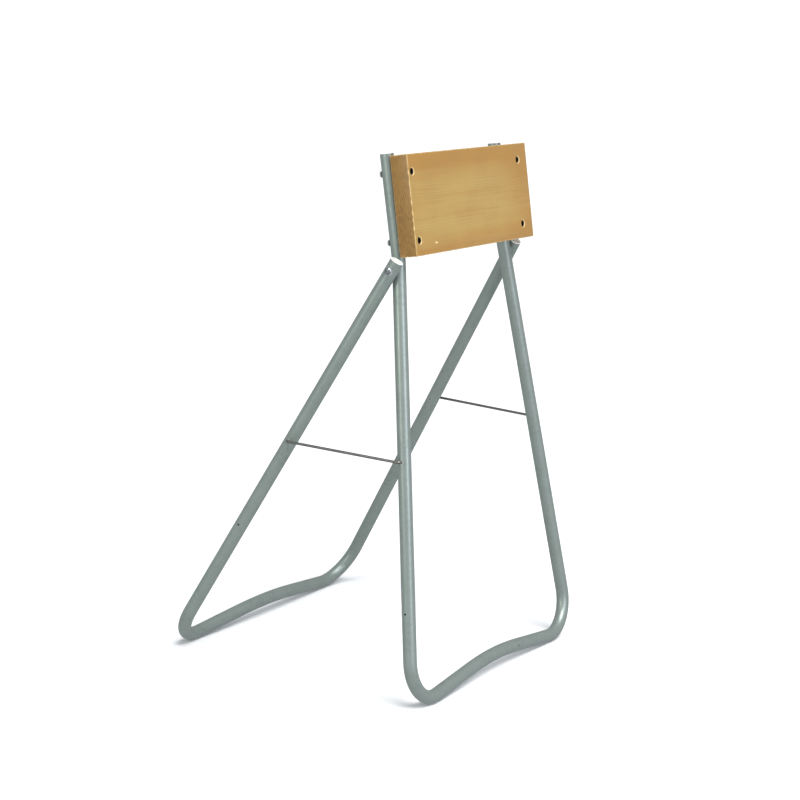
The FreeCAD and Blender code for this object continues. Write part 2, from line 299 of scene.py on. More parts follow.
def carve(target, cutters, operation="DIFFERENCE"):
    """Cuts or crops a piece with closed meshes, and keeps the result as its mesh."""
    for cutter in cutters:
        step = target.modifiers.new("carve", "BOOLEAN")
        step.object, step.operation, step.solver = cutter, operation, "EXACT"
    bpy.context.view_layer.update()
    carved = bpy.data.meshes.new_from_object(target.evaluated_get(bpy.context.evaluated_depsgraph_get()))
    target.modifiers.clear()
    target.data = carved
    for cutter in cutters:
        bpy.data.objects.remove(cutter)
    return target


def finish_piece(piece, node, body, material, sharp=35):
    """Shades a finished mesh, gives it its material, and stands it in for its frame node."""
    piece.data.materials.clear()
    piece.data.materials.append(material)
    piece.data.shade_smooth()
    piece.data.set_sharp_from_angle(angle=radians(sharp))
    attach(piece, body)
    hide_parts(node)
    return piece


def turned(profile, closed=False):
    """A solid of revolution about Z from (radius, height) corners."""
    bm = bmesh.new()
    corners = [bm.verts.new((radius, 0, height)) for radius, height in profile]
    pairs = list(zip(corners, corners[1:])) + ([(corners[-1], corners[0])] if closed else [])
    edges = [bm.edges.new(pair) for pair in pairs]
    bmesh.ops.spin(bm, geom=corners + edges, cent=(0, 0, 0), axis=Z, angle=2 * pi, steps=ROUND_SIDES,
                   use_merge=True)
    return tidy(bm)


def arc(centre_r, centre_z, radius, start, end, steps=8):
    """Points on part of a circle, for a turned profile, with angles in degrees from the +r axis."""
    turns = [radians(start + (end - start) * i / steps) for i in range(steps + 1)]
    return [(centre_r + radius * cos(turn), centre_z + radius * sin(turn)) for turn in turns]


def dome_arc(rim, base, height):
    """A spherical cap's profile from its rim to the axis."""
    steps = 14
    ball = (rim ** 2 + height ** 2) / (2 * height)
    widest = acos((ball - height) / ball)
    heights = [widest * (1 - i / steps) for i in range(steps + 1)]
    return [(ball * sin(turn), base + height - ball + ball * cos(turn)) for turn in heights]


def prism(across, low, high):
    """A hexagonal bar along Z."""
    bm = bmesh.new()
    radius = across / 2 / cos(pi / HEXAGON)
    bmesh.ops.create_cone(bm, cap_ends=True, segments=HEXAGON, radius1=radius, radius2=radius,
                          depth=high - low, matrix=Matrix.Translation((0, 0, (low + high) / 2)))
    return bm


def drill(diameter, start, end):
    """A closed cylinder from start to end, to cut with."""
    bm = bmesh.new()
    run = end - start
    bmesh.ops.create_cone(bm, cap_ends=True, segments=HOLE_SIDES, radius1=diameter / 2, radius2=diameter / 2,
                          depth=run.length, matrix=facing((start + end) / 2, run))
    return as_object("drill", bm)


def sweep_ring(bm, points, bends, radius, sides, run_step):
    """Draws a ring of edges along straight runs and tangent bends; returns its first and last rings."""
    bmesh.ops.create_circle(bm, segments=sides, radius=radius,
                            matrix=facing(points[0], points[1] - points[0]))
    bm.edges.index_update()
    first = bm.edges[-sides:]
    ring, start = first, points[0]

    def advance(ring, vector, turn=0.0, centre=(0, 0, 0), axis=Z, steps=1):
        verts = list({vert for edge in ring for vert in edge.verts})
        made = bmesh.ops.spin(bm, geom=ring + verts, cent=centre, axis=axis, dvec=vector, angle=turn,
                              steps=steps)
        return [item for item in made["geom_last"] if isinstance(item, bmesh.types.BMEdge)]

    def run_to(ring, start, end):
        steps = max(1, round((end - start).length / run_step))
        return advance(ring, (end - start) / steps, steps=steps)

    for before, at, after, bend in zip(points, points[1:], points[2:], bends):
        into, away = (at - before).normalized(), (after - at).normalized()
        turn = into.angle(away)
        tangent = bend * tan(turn / 2)
        centre = at + (away - into).normalized() * (bend / cos(turn / 2))
        ring = run_to(ring, start, at - into * tangent)
        ring = advance(ring, (0, 0, 0), turn, centre, into.cross(away).normalized(),
                       max(4, round(turn * (bend + radius) / run_step)))
        start = at + away * tangent
    return first, run_to(ring, start, points[-1])


def bent_tube(points, bends):
    """A hollow tube along the path."""
    bm = bmesh.new()
    sweep_ring(bm, points, bends, tubes().tube_d / 2, TUBE_SIDES, run_step=tubes().tube_d / 2.5)
    tidy(bm)
    bmesh.ops.solidify(bm, geom=bm.faces[:], thickness=tubes().wall)
    return bm


def bent_rod(points, bends, radius):
    """A solid rod along the path, with its sawn ends chamfered."""
    bm = bmesh.new()
    for ring in sweep_ring(bm, points, bends, radius, ROD_SIDES, run_step=radius):
        bmesh.ops.contextual_create(bm, geom=ring)
        bmesh.ops.bevel(bm, geom=ring, offset=0.2 * radius, segments=2, profile=0.5, affect="EDGES",
                        material=-1)
    return tidy(bm)


# ---------------------------------------------------------------- materials

def add(tree, kind, inputs=(), ramp=(), **settings):
    """Adds one node with its settings, its inputs (values, or sockets to link from) and its ramp's stops."""
    node = tree.nodes.new("ShaderNode" + kind)
    for name, value in settings.items():
        setattr(node, name, value)
    for name, value in dict(inputs).items():
        if isinstance(value, bpy.types.NodeSocket):
            tree.links.new(value, node.inputs[name])
        else:
            node.inputs[name].default_value = value
    if ramp:
        stops = node.color_ramp.elements
        stops[0].position, stops[0].color = ramp[0]
        stops[-1].position, stops[-1].color = ramp[-1]
        for place, tint in ramp[1:-1]:
            stops.new(place).color = tint
    return node


def grey(level):
    """A grey for a ramp's stop."""
    return [level, level, level, 1.0]


def start_material(name, **shader_values):
    """A new material with its shader, and the object's own coordinates to draw on."""
    made = bpy.data.materials.new(name)
    made.use_nodes = True
    tree = made.node_tree
    tree.nodes.clear()
    shader = add(tree, "BsdfPrincipled", shader_values)
    add(tree, "OutputMaterial", {"Surface": shader.outputs["BSDF"]})
    place = add(tree, "TexCoord").outputs["Object"]
    return made, tree, shader, place


def waves_per_metre(size):
    """The scale that gives a Noise or Voronoi texture features of that real size."""
    return 1 / size


def galvanised_wear(tree, place, worn_spots):
    """How far the zinc is rubbed: under the feet, and round the worn spots, which are (point, radius,
    nearest |x|) on axes along X."""
    ring_in, ring_out, foot_scuff_height = 0.6 * MM, 1.6 * MM, 9 * MM
    parts = add(tree, "SeparateXYZ", {"Vector": place})
    flat = add(tree, "CombineXYZ", {"Y": parts.outputs["Y"], "Z": parts.outputs["Z"]})
    side = add(tree, "Math", {0: parts.outputs["X"]}, operation="ABSOLUTE")
    wear = add(tree, "MapRange", {"Value": parts.outputs["Z"], "From Min": foot_scuff_height,
                                  "From Max": 0.0})
    wear = wear.outputs["Result"]
    for spot, radius, inner in worn_spots:
        away = add(tree, "VectorMath", {0: flat.outputs["Vector"], 1: (0, spot.y, spot.z)},
                   operation="DISTANCE")
        ring = add(tree, "MapRange", {"Value": away.outputs["Value"], "From Min": radius + ring_out,
                                      "From Max": radius + ring_in})
        beyond = add(tree, "Math", {0: side.outputs[0], 1: inner}, operation="GREATER_THAN")
        ring = add(tree, "Math", {0: ring.outputs["Result"], 1: beyond.outputs[0]}, operation="MULTIPLY")
        wear = add(tree, "Math", {0: wear, 1: ring.outputs[0]}, operation="MAXIMUM").outputs[0]
    return wear


def galvanised_steel(name, worn_spots):
    """Hot dip galvanised tube, weathered: soft zinc grey with faint spangles, rubbed bright round the holes
    that something turns in, and scuffed under the feet."""
    spangle_size, mottle_size, scuff_size = 5 * MM, 38 * MM, 1.1 * MM
    scuff_depth, ripple_depth = 0.08 * MM, 0.3 * MM
    tint = colours()
    made, tree, shader, place = start_material(name, Metallic=0.50, Roughness=0.4)
    spangles = add(tree, "TexVoronoi", {"Vector": place, "Scale": waves_per_metre(spangle_size)},
                   feature="F1")
    mottle = add(tree, "TexNoise", {"Vector": place, "Scale": waves_per_metre(mottle_size), "Detail": 4.0})
    grain = add(tree, "TexNoise", {"Vector": place, "Scale": waves_per_metre(scuff_size), "Detail": 3.0})
    cloud = add(tree, "ValToRGB", {"Fac": mottle.outputs["Fac"]}, ramp=[(0.35, grey(0)), (0.68, grey(1))])
    facet = add(tree, "SeparateColor", {"Color": spangles.outputs["Color"]})
    dull = add(tree, "Math", {0: facet.outputs["Red"], 1: cloud.outputs["Color"]}, operation="MULTIPLY")
    zinc = add(tree, "Mix", {MIX_FACTOR: dull.outputs[0], MIX_A: list(tint.zinc),
                             MIX_B: list(tint.zinc_dark)}, data_type="RGBA")
    wear = galvanised_wear(tree, place, worn_spots)
    rough_edge = add(tree, "Math", {0: wear, 1: grain.outputs["Fac"]}, operation="MULTIPLY")
    bright = add(tree, "ValToRGB", {"Fac": rough_edge.outputs[0]}, ramp=[(0.30, grey(0)), (0.52, grey(1))])
    skin = add(tree, "Mix", {MIX_FACTOR: bright.outputs["Color"], MIX_A: zinc.outputs[MIX_RESULT],
                             MIX_B: list(tint.bare)}, data_type="RGBA")
    tree.links.new(skin.outputs[MIX_RESULT], shader.inputs["Base Color"])
    gloss = add(tree, "MapRange", {"Value": mottle.outputs["Fac"], "To Min": 0.33, "To Max": 0.43})
    tree.links.new(gloss.outputs["Result"], shader.inputs["Roughness"])
    bump = add(tree, "Bump", {"Height": grain.outputs["Fac"], "Strength": 0.2, "Distance": scuff_depth})
    ripple = add(tree, "Bump", {"Height": mottle.outputs["Fac"], "Strength": 0.25, "Distance": ripple_depth,
                                "Normal": bump.outputs["Normal"]})
    tree.links.new(ripple.outputs["Normal"], shader.inputs["Normal"])
    return made


def board_place(tree, place):
    """The board's own coordinates from its middle: X along its grain, Z up its face."""
    lean = atan2(board_out.z, -board_out.y)
    centre = Matrix.Rotation(lean, 3, "X") @ middle("motor_board")
    local = add(tree, "Mapping", {"Vector": place, "Location": -centre, "Rotation": (lean, 0, 0)})
    return local.outputs["Vector"]


def growth_rings(tree, local):
    """A place that wanders as the grain does, and how far it is through its growth ring."""
    heart = Vector((0, -0.052, -0.012))     # centre of the growth rings, from the board's middle
    along_grain = 0.055                     # how much slower the wood changes along its grain
    wander_size = 1000 / 22 * MM            # length of the grain's bends
    wander_reach, ring_spacing = 16 * MM, 3.4 * MM
    ring_scale = 2 * pi / 20 / ring_spacing   # a Wave texture has 20 radians in a unit
    stretched = add(tree, "Mapping", {"Vector": local, "Location": -heart, "Scale": (along_grain, 1, 1)})
    wander = add(tree, "TexNoise", {"Vector": stretched.outputs["Vector"],
                                    "Scale": waves_per_metre(wander_size), "Detail": 2.0})
    shift = add(tree, "VectorMath", {0: wander.outputs["Color"], 1: (0.5, 0.5, 0.5)}, operation="SUBTRACT")
    shift = add(tree, "VectorMath", {0: shift.outputs[0], "Scale": wander_reach}, operation="SCALE")
    bent = add(tree, "VectorMath", {0: stretched.outputs["Vector"], 1: shift.outputs[0]}, operation="ADD")
    rings = add(tree, "TexWave", {"Vector": bent.outputs[0], "Scale": ring_scale, "Distortion": 2.5,
                                  "Detail": 3.0, "Detail Scale": 0.5},
                wave_type="RINGS", rings_direction="X", wave_profile="SAW")
    return bent.outputs[0], rings.outputs["Fac"]


def warmth(tree, local, bent):
    """How warm the wood is: broad bands along the grain, more towards the top, bottom and right edges."""
    band_size = 14 * MM
    yellow_middle = 12 * MM                           # how far the palest wood is below the board's middle
    warm_from, warm_to = 30 * MM, 100 * MM            # distance above or below it
    right_from, right_to = 100 * MM, 260 * MM         # distance to the right of the middle
    bands = add(tree, "TexNoise", {"Vector": bent, "Scale": waves_per_metre(band_size), "Detail": 4.0})
    parts = add(tree, "SeparateXYZ", {"Vector": local})
    away = add(tree, "Math", {0: parts.outputs["Z"], 1: yellow_middle}, operation="ADD")
    away = add(tree, "Math", {0: away.outputs[0]}, operation="ABSOLUTE")
    edge = add(tree, "MapRange", {"Value": away.outputs[0], "From Min": warm_from, "From Max": warm_to},
               interpolation_type="SMOOTHSTEP")
    streak = add(tree, "MapRange", {"Value": bands.outputs["Fac"], "From Min": 0.38, "From Max": 0.66})
    warm = add(tree, "Math", {0: streak.outputs["Result"], 1: 0.45, 2: edge.outputs["Result"]},
               operation="MULTIPLY_ADD", use_clamp=True)
    right_end = add(tree, "MapRange", {"Value": parts.outputs["X"], "From Min": right_from,
                                       "From Max": right_to, "To Max": 0.8})
    warm = add(tree, "Math", {0: warm.outputs[0], 1: right_end.outputs["Result"]}, operation="ADD",
               use_clamp=True)
    return warm.outputs[0]


def face_grain(tree, local, bent, rings):
    """The wood of the faces: warm bands, growth lines that fade in and out, and short dark flecks."""
    fade_size, fleck_size, fleck_stretch = 60 * MM, 1.6 * MM, 0.16
    tint = colours()
    early = add(tree, "Mix", {MIX_FACTOR: warmth(tree, local, bent), MIX_A: list(tint.beech_light),
                              MIX_B: list(tint.beech_red)}, data_type="RGBA")
    lines = add(tree, "ValToRGB", {"Fac": rings},
                ramp=[(0.0, grey(0.1)), (0.60, grey(0.35)), (0.90, grey(1)), (1.0, grey(0.2))])
    fade = add(tree, "TexNoise", {"Vector": local, "Scale": waves_per_metre(fade_size), "Detail": 1.0})
    fading = add(tree, "MapRange", {"Value": fade.outputs["Fac"], "From Min": 0.35, "From Max": 0.65,
                                    "To Min": 0.08, "To Max": 0.5})
    strength = add(tree, "Math", {0: lines.outputs["Color"], 1: fading.outputs["Result"]},
                   operation="MULTIPLY")
    lined = add(tree, "Mix", {MIX_FACTOR: strength.outputs[0], MIX_A: early.outputs[MIX_RESULT],
                              MIX_B: list(tint.beech_dark)}, data_type="RGBA")
    dashes = add(tree, "Mapping", {"Vector": local, "Scale": (fleck_stretch, 1, 1)})
    fleck = add(tree, "TexVoronoi", {"Vector": dashes.outputs["Vector"],
                                     "Scale": waves_per_metre(fleck_size)}, feature="F1")
    mark = add(tree, "ValToRGB", {"Fac": fleck.outputs["Distance"]},
               ramp=[(0.10, grey(0.30)), (0.24, grey(0))])
    flecked = add(tree, "Mix", {MIX_FACTOR: mark.outputs["Color"], MIX_A: lined.outputs[MIX_RESULT],
                                MIX_B: list(tint.beech_fleck)}, data_type="RGBA")
    return flecked.outputs[MIX_RESULT]


def with_end_grain(tree, wood, bent, rings):
    """The wood, with the darker streaked end grain on the two ends, which face along X."""
    streak_size = 9 * MM
    tint = colours()
    normal = add(tree, "SeparateXYZ", {"Vector": add(tree, "TexCoord").outputs["Normal"]})
    endwards = add(tree, "Math", {0: normal.outputs["X"]}, operation="ABSOLUTE")
    on_end = add(tree, "MapRange", {"Value": endwards.outputs[0], "From Min": 0.75, "From Max": 0.95})
    streaks = add(tree, "TexNoise", {"Vector": bent, "Scale": waves_per_metre(streak_size), "Detail": 4.0,
                                     "Distortion": 0.6})
    lines = add(tree, "Math", {0: rings, 1: streaks.outputs["Fac"]}, operation="MULTIPLY")
    shade = add(tree, "ValToRGB", {"Fac": lines.outputs[0]},
                ramp=[(0.10, list(tint.beech_end)), (0.28, list(tint.end_light)),
                      (0.50, list(tint.end_dark))])
    ended = add(tree, "Mix", {MIX_FACTOR: on_end.outputs["Result"], MIX_A: wood,
                              MIX_B: shade.outputs["Color"]}, data_type="RGBA")
    return ended.outputs[MIX_RESULT]


def varnish_wear_and_highlight(tree, local):
    """Where the wood is painted pale: spots along the marked arrises, which are rubbed varnish and also a painted
    highlight on the rounded edges, and one small dent low on the front, painted as a pale highlight.
    """
    spot_size = 9 * MM
    dent = (-152.6 * MM, -17.8 * MM, -71.6 * MM)      # from the board's middle
    dent_in, dent_out = 1.2 * MM, 2.2 * MM
    dent_shape = (0.35, 0.05, 1.0)                    # longer along the grain
    across = add(tree, "VectorMath", {0: local, 1: dent}, operation="SUBTRACT")
    across = add(tree, "VectorMath", {0: across.outputs[0], 1: dent_shape}, operation="MULTIPLY")
    reach = add(tree, "VectorMath", {0: across.outputs[0]}, operation="LENGTH")
    # a pale spot where a small dent catches the light: a painted highlight, with no dent in the mesh
    dent_highlight = add(tree, "MapRange", {"Value": reach.outputs["Value"], "From Min": dent_out,
                                    "From Max": dent_in})
    arris = add(tree, "Attribute", attribute_name="arris", attribute_type="GEOMETRY")
    spots = add(tree, "TexNoise", {"Vector": local, "Scale": waves_per_metre(spot_size), "Detail": 3.0})
    # pale spots on the arrises: rubbed varnish, and a painted highlight along the rounded edges
    rubbed = add(tree, "Math", {0: arris.outputs["Fac"], 1: spots.outputs["Fac"]}, operation="MULTIPLY")
    rubbed = add(tree, "Math", {0: rubbed.outputs[0], 1: dent_highlight.outputs["Result"]}, operation="MAXIMUM")
    shade = add(tree, "ValToRGB", {"Fac": rubbed.outputs[0]}, ramp=[(0.34, grey(0)), (0.66, grey(0.75))])
    return shade.outputs["Color"]


def varnished_beech():
    """One piece of flat sawn beech, sanded and varnished: soft growth lines and warm bands along the grain,
    darker end grain, and pale raw wood where the varnish has rubbed off, which on the arrises, the counterbore
    mouths and one dent is also a painted highlight."""
    pore_size, pore_stretch, pore_depth = 0.5 * MM, 0.05, 0.15 * MM
    made, tree, shader, place = start_material("varnished_beech", Roughness=0.42)
    shader.inputs["Coat Weight"].default_value = 0.15
    shader.inputs["Coat Roughness"].default_value = 0.22
    local = board_place(tree, place)
    bent, rings = growth_rings(tree, local)
    grain = with_end_grain(tree, face_grain(tree, local, bent, rings), bent, rings)
    # pale raw wood for rubbed varnish, and as a painted highlight on the arrises, counterbore mouths and a dent
    wood = add(tree, "Mix", {MIX_FACTOR: varnish_wear_and_highlight(tree, local), MIX_A: grain,
                             MIX_B: list(colours().raw)}, data_type="RGBA")
    tree.links.new(wood.outputs[MIX_RESULT], shader.inputs["Base Color"])
    pores = add(tree, "Mapping", {"Vector": local, "Scale": (pore_stretch, 1, 1)})
    pore = add(tree, "TexNoise", {"Vector": pores.outputs["Vector"], "Scale": waves_per_metre(pore_size),
                                  "Detail": 2.0})
    bump = add(tree, "Bump", {"Height": pore.outputs["Fac"], "Strength": 0.2, "Distance": pore_depth})
    tree.links.new(bump.outputs["Normal"], shader.inputs["Normal"])
    return made


def plated_steel(name, hue, roughness, streaks=(1, 1, 1)):
    """Electroplated or blackened small steel parts: a thin even skin with faint cloudy tints and fine marks
    left by forming. `streaks` stretches the marks along a drawn rod."""
    cloud_size, mark_size, mark_depth = 7 * MM, 0.6 * MM, 0.05 * MM
    cloud_shade, smoother, rougher = 0.78, 0.08, 0.12
    made, tree, shader, place = start_material(name, Metallic=1.0, Roughness=roughness)
    cloud = add(tree, "TexNoise", {"Vector": place, "Scale": waves_per_metre(cloud_size), "Detail": 3.0})
    darker = [cloud_shade * level for level in hue[:3]] + [1.0]
    skin = add(tree, "Mix", {MIX_FACTOR: cloud.outputs["Fac"], MIX_A: darker, MIX_B: list(hue)},
               data_type="RGBA")
    tree.links.new(skin.outputs[MIX_RESULT], shader.inputs["Base Color"])
    drawn = add(tree, "Mapping", {"Vector": place, "Scale": streaks})
    marks = add(tree, "TexNoise", {"Vector": drawn.outputs["Vector"], "Scale": waves_per_metre(mark_size),
                                   "Detail": 2.0})
    gloss = add(tree, "MapRange", {"Value": marks.outputs["Fac"], "To Min": roughness - smoother,
                                   "To Max": roughness + rougher})
    tree.links.new(gloss.outputs["Result"], shader.inputs["Roughness"])
    bump = add(tree, "Bump", {"Height": marks.outputs["Fac"], "Strength": 0.12, "Distance": mark_depth})
    tree.links.new(bump.outputs["Normal"], shader.inputs["Normal"])
    return made


def moulded_polyethylene():
    """Injection moulded white polyethylene: waxy, slightly see-through, spark eroded and a little dusty."""
    spark_size, spark_depth, dust_size, glow_depth = 0.35 * MM, 0.04 * MM, 6 * MM, 1.0 * MM
    made, tree, shader, place = start_material("moulded_polyethylene", Roughness=0.45)
    shader.inputs["Subsurface Weight"].default_value = 0.12
    shader.inputs["Subsurface Scale"].default_value = glow_depth
    dust = add(tree, "TexNoise", {"Vector": place, "Scale": waves_per_metre(dust_size), "Detail": 4.0})
    haze = add(tree, "ValToRGB", {"Fac": dust.outputs["Fac"]}, ramp=[(0.45, grey(0)), (0.75, grey(0.25))])
    skin = add(tree, "Mix", {MIX_FACTOR: haze.outputs["Color"], MIX_A: list(colours().plastic),
                             MIX_B: list(colours().dust)}, data_type="RGBA")
    tree.links.new(skin.outputs[MIX_RESULT], shader.inputs["Base Color"])
    spark = add(tree, "TexNoise", {"Vector": place, "Scale": waves_per_metre(spark_size), "Detail": 1.0})
    bump = add(tree, "Bump", {"Height": spark.outputs["Fac"], "Strength": 0.15, "Distance": spark_depth})
    tree.links.new(bump.outputs["Normal"], shader.inputs["Normal"])
    return made


# ---------------------------------------------------------------- pieces

def leg_hole(plane, side, depth, diameter, through=True):
    """A drill along X through a leg: through both walls, or only the outer one."""
    reach = tubes().tube_d / 2
    inner = plane.leg_face(depth, -1) - reach if through else plane.leg_across(depth)
    outer = plane.leg_face(depth) + reach
    return drill(diameter, plane.point(side * inner, depth), plane.point(side * outer, depth))


def front_frame():
    """The tube with the posts: post, leg, bowed bottom bar, leg and post, drilled for what it carries."""
    size, fix, plane = tubes(), fixings(), front_plane()
    points = [post_point(1, size.post_length), post_point(1, 0), *plane.bar_corners(),
              post_point(-1, 0), post_point(-1, size.post_length)]
    bends = [size.post_bend, size.foot_bend, size.bar_bend, size.foot_bend, size.post_bend]
    stay_depth = (pivot.z - stay_axis.z) / cos(plane.lean)
    drills = []
    for name, side in SIDES.items():
        drills.append(leg_hole(plane, side, 0, fix.pivot_nut_d, through=False))
        drills.append(leg_hole(plane, side, stay_depth, size.front_stay_hole, through=False))
        drills.append(leg_hole(plane, side, size.front_drain, size.drain_hole, through=False))
        for level in LEVELS:
            centre = screw_line(level, name)
            reach = board_out * size.tube_d
            drills.append(drill(fix.screw_hole, centre - reach, centre + reach))
    bar = plane.point(size.front_bar_drain, plane.bar_depth(size.front_bar_drain))
    drills.append(drill(size.drain_hole, bar, bar + plane.out * size.tube_d))
    worn = [(pivot, fix.pivot_washer_d / 2, plane.leg_across(0)),
            (plane.point(0, stay_depth), size.front_stay_hole / 2, plane.leg_across(stay_depth))]
    frame_tube = carve(as_object("front_frame_tube", bent_tube(points, bends)), drills)
    return finish_piece(frame_tube, "front_frame", "front_body",
                        galvanised_steel("galvanised_front", worn))


def rear_frame():
    """The tube with the cut off legs: leg, bowed bottom bar and leg, drilled for the pivots and stays."""
    size, fix, plane = tubes(), fixings(), rear_plane()
    top = plane.leg_across(-size.rear_stub)
    points = [plane.point(top, -size.rear_stub), *plane.bar_corners(), plane.point(-top, -size.rear_stub)]
    stay_depth = (pivot.z - stay_axis.z) / cos(plane.lean)
    drills = []
    for side in SIDES.values():
        drills.append(leg_hole(plane, side, 0, fix.bolt_hole))
        drills.append(leg_hole(plane, side, stay_depth, size.rear_stay_hole))
        drills.append(leg_hole(plane, side, size.rear_drain, size.drain_hole, through=False))
    bar = plane.point(size.rear_bar_drain, plane.bar_depth(size.rear_bar_drain))
    drills.append(drill(size.drain_hole, bar, bar + Z * size.tube_d))
    worn = [(pivot, fix.bolt_head_d / 2, 0.0), (stay_axis, size.rear_stay_hole / 2, 0.0)]
    bends = [size.foot_bend, size.bar_bend, size.foot_bend]
    frame_tube = carve(as_object("rear_frame_tube", bent_tube(points, bends)), drills)
    return finish_piece(frame_tube, "rear_frame", "rear_body",
                        galvanised_steel("galvanised_rear", worn))


def screw_line(level, name):
    """Where a board screw's axis crosses its post's centreline."""
    washer = middle(f"board_washer_{level}_{name}")
    return washer + board_out * (tubes().tube_d / 2 + fixings().washer_t / 2)


def board_face(point):
    """The point's distance behind the board's front face."""
    return (Vector(mounts["board_front"]["pos_m"]) - point).dot(board_out)


def mark_wear_and_highlight(bm, rubs, amount=0.9):
    """Marks the faces painted pale, as rubbed varnish and as a painted highlight on the edges, in spots under 1
    and wholly at 2.
    """
    layer = bm.faces.layers.float.new("arris")
    for face in bm.faces:
        face[layer] = amount * rubs(face)


def counterbore(at):
    """The cutter for one screw's clearance hole, counterbore and chamfered mouth."""
    fix = fixings()
    hole, bore = fix.screw_hole / 2, fix.counterbore_d / 2
    edge, floor = fix.counterbore_edge, -fix.counterbore_depth
    through, proud = -60 * MM, 1 * MM
    bm = turned([(0, through), (hole, through), (hole, floor), (bore, floor), (bore, -edge),
                 (bore + edge + proud, proud), (0, proud)])
    # the chamfered mouth is painted wholly pale: raw wood, and a painted highlight on the chamfer
    mark_wear_and_highlight(bm, lambda face: -edge < face.calc_center_median().z < proud, amount=2.0)
    bm.transform(facing(at, board_out))
    return as_object("counterbore", bm)


def motor_board():
    """The sawn board, with rounded arrises and a counterbored hole for each screw."""
    centre = middle("motor_board")
    low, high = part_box("motor_board")
    width = high.x - low.x
    thickness = 2 * board_face(centre)
    height = 2 * (Vector(mounts["board_top"]["pos_m"]) - centre).dot(board_up)
    bm = bmesh.new()
    bmesh.ops.create_cube(bm, size=1, matrix=Matrix.Diagonal((width, thickness, height, 1)))
    bmesh.ops.bevel(bm, geom=bm.edges, offset=fixings().arris, segments=4, profile=0.5, affect="EDGES",
                    material=-1)
    bm.normal_update()
    square_on = 0.999                       # a face's largest normal share, unless it is on an arris
    # the rounded arrises get pale spots: rubbed varnish, and a painted highlight on the edges
    mark_wear_and_highlight(bm, lambda face: max(map(abs, face.normal)) < square_on)
    bm.transform(facing(centre, board_up))
    board = as_object("beech_board", tidy(bm))
    cutters = []
    for name in SIDES:
        for level in LEVELS:
            line = screw_line(level, name)
            cutters.append(counterbore(line + board_out * board_face(line)))
    carve(board, cutters)
    return finish_piece(board, "motor_board", "front_body", varnished_beech(),
                        sharp=25)


def knurl(bm, radius, low, high, depth):
    """Straight knurling: every second line of corners round a head sinks in."""
    on_rim = 0.01 * MM
    for vert in bm.verts:
        if low < vert.co.z < high and abs(vert.co.xy.length - radius) < on_rim:
            turn = atan2(vert.co.y, vert.co.x)
            if round(turn / (2 * pi) * ROUND_SIDES) % 2:
                vert.co.xy *= 1 - depth / radius


def cap_screw(line):
    """An M6 socket cap screw from its counterbore into its nut."""
    fix = fixings()
    seat = board_face(line) - fix.counterbore_depth
    shank = seat + tubes().tube_d / 2 + fix.washer_t + fix.nut_height + fix.screw_end
    shaft, head, top, edge = fix.screw_d / 2, fix.head_d / 2, fix.head_height, 0.5 * MM
    knurl_low, knurl_high, knurl_depth = 0.1 * MM, top - 1.5 * edge, 0.18 * MM
    profile = [(0, -shank), (shaft - edge, -shank), (shaft, edge - shank), (shaft, 0), (head - edge / 2, 0),
               (head, edge / 2), (head, 0.45 * top), (head, top - 2 * edge),
               *arc(head - edge, top - edge, edge, 0, 90, 4), (0, top)]
    bm = turned(profile)
    knurl(bm, head, knurl_low, knurl_high, knurl_depth)
    screw = as_object("cap_screw", bm)
    carve(screw, [as_object("socket", prism(fix.socket, top - fix.socket_depth, top + edge))])
    screw.data.transform(facing(line + board_out * seat, board_out))
    return screw


def ring_washer(outer, bore, thickness, centre, direction):
    """A stamped or cut washer with eased edges."""
    ease = 0.15 * thickness
    low, high, wide, narrow = -thickness / 2, thickness / 2, outer / 2, bore / 2
    bm = turned([(narrow, low), (wide - ease, low), (wide, low + ease), (wide, high - ease),
                 (wide - ease, high), (narrow + ease, high), (narrow, high - ease)], closed=True)
    bm.transform(facing(centre, direction))
    return as_object("washer", bm)


def thin_nut(seat, direction):
    """A thin hexagonal nut: a turned blank cropped to its hexagon, whose corners keep the turned chamfer."""
    fix = fixings()
    corner, bore = fix.nut_across / 2 / cos(pi / HEXAGON), fix.screw_d / 2
    high, edge, past = fix.nut_height, fix.nut_chamfer, 1 * MM
    blank = turned([(bore + edge, 0), (corner - 2 * edge, 0), (corner, edge), (corner, high - edge),
                    (corner - 2 * edge, high), (bore + edge, high), (bore, high - edge), (bore, edge)],
                   closed=True)
    nut = as_object("thin_nut", blank)
    carve(nut, [as_object("hexagon", prism(fix.nut_across, -past, high + past))], "INTERSECT")
    nut.data.transform(facing(seat, direction))
    return nut


def button_bolt(name, side):
    """An M8 button head bolt across a pivot, from outside the rear leg into its rivet nut."""
    fix = fixings()
    out = X * side
    seat = side * outer_x(f"pivot_bolt_{name}", side) - fix.bolt_head
    tip = side * outer_x(f"pivot_nut_{name}", -side) + fix.pivot_tip_gap
    shank = seat - tip
    shaft, head, edge = fix.bolt_d / 2, fix.bolt_head_d / 2, 0.35 * MM
    profile = [(0, -shank), (shaft - edge, -shank), (shaft, edge - shank), (shaft, 0), (head - edge, 0),
               (head, edge), (head, 2 * edge), *dome_arc(head, 2 * edge, fix.bolt_head - 2 * edge)]
    bolt = as_object("button_bolt", turned(profile))
    socket = prism(fix.bolt_socket, fix.bolt_head - fix.bolt_socket_depth, fix.bolt_head + edge)
    carve(bolt, [as_object("socket", socket)])
    bolt.data.transform(facing(pivot + out * seat, out))
    return bolt


